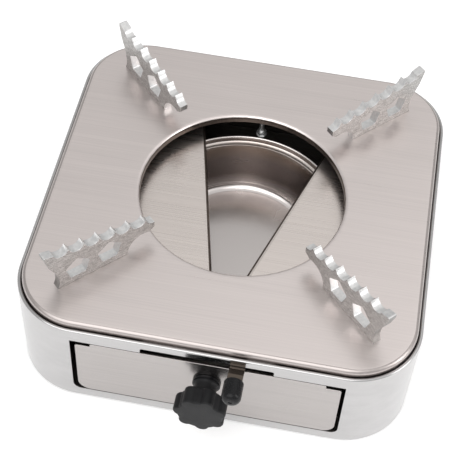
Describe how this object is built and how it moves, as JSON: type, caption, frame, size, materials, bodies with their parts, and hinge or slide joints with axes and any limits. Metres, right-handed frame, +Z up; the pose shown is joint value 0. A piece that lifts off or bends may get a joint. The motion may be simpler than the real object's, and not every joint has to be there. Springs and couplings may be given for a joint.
{
  "type": "hot plate burner",
  "caption": "Square steel table-top burner with four scalloped aluminium pan supports, a drawer that carries the fuel bowl, and two lever-driven dampers under the flame hole.",
  "frame": {"origin": "on the table plane, below the centre of the bounding box; the case centre is 15.65 mm behind it, because the star grip and the lever stand out in front", "axes": "+Z is up, the drawer front and the controls face -Y, and +X is to the right for a person who faces the front"},
  "size_m": [0.3, 0.3312, 0.1329],
  "materials": {
    "case_steel": "polished, satin",
    "plate_steel": "brushed from left to right",
    "panel_steel": "brushed from left to right",
    "damper_steel": "brushed",
    "bowl_steel": "drawn bright",
    "inner_steel": "mill finish",
    "fastener_steel": "zinc plated",
    "support_aluminium": "cast sides and machined edges",
    "plastic_black": "satin black",
    "knob_plastic": "satin dark grey",
    "rubber_black": "matte",
    "bush_brass": "turned"
  },
  "bodies": {
    "stove": {"case": "case_steel", "base_plate": "inner_steel", "base_screws": "fastener_steel", "feet": "rubber_black", "foot_screws": "fastener_steel", "top_plate": "plate_steel", "plate_brackets": "inner_steel", "plate_studs": "fastener_steel", "plate_nuts": "fastener_steel", "support_front_left": "support_aluminium", "support_front_right": "support_aluminium", "support_back_left": "support_aluminium", "support_back_right": "support_aluminium", "support_screws": "fastener_steel", "stop_stud": "fastener_steel", "stop_washer": "fastener_steel", "stop_nut": "fastener_steel", "pivot_studs": "fastener_steel", "pivot_spacers": "fastener_steel", "pivot_nuts": "fastener_steel", "runner_left": "inner_steel", "runner_right": "inner_steel"},
    "drawer": {"drawer_panel": "panel_steel", "drawer_tray": "inner_steel", "bowl_seat": "inner_steel", "fuel_bowl": "bowl_steel", "shaft_bush": "bush_brass"},
    "latch_knob": {"knob_washer": "plastic_black", "star_knob": "knob_plastic", "knob_shaft": "fastener_steel", "latch_finger": "inner_steel", "latch_nut": "fastener_steel"},
    "lever_slide": {"damper_slide": "inner_steel", "lever_cap": "plastic_black"},
    "left_damper": {"damper_left": "damper_steel", "follower_pin_left": "fastener_steel"},
    "right_damper": {"damper_right": "damper_steel", "follower_pin_right": "fastener_steel"}
  },
  "joints": [
    {"name": "drawer_slide", "type": "slide", "parent": "stove", "child": "drawer", "axis": [0, -1, 0], "range_m": [0, 0.17]},
    {"name": "knob_turn", "type": "hinge", "parent": "drawer", "child": "latch_knob", "pos_m": [0.0015, -0.13235, 0.0502], "axis": [0, 1, 0], "range_deg": [0, 90]},
    {"name": "lever_slide_joint", "type": "slide", "parent": "stove", "child": "lever_slide", "axis": [1, 0, 0], "range_m": [-0.065, 0.019]},
    {"name": "left_damper_swing", "type": "hinge", "parent": "stove", "child": "left_damper", "pos_m": [-0.012, -0.10085, 0.0745], "axis": [0, 0, 1], "range_deg": [-12.78, 3.74]},
    {"name": "right_damper_swing", "type": "hinge", "parent": "stove", "child": "right_damper", "pos_m": [0.012, -0.10085, 0.0745], "axis": [0, 0, 1], "range_deg": [-5.03, 17.19]}
  ],
  "couplings": [
    {"joint": "left_damper_swing", "follows": "lever_slide_joint", "rad_per_m": 3.4283},
    {"joint": "right_damper_swing", "follows": "lever_slide_joint", "rad_per_m": -4.6127}
  ]
}
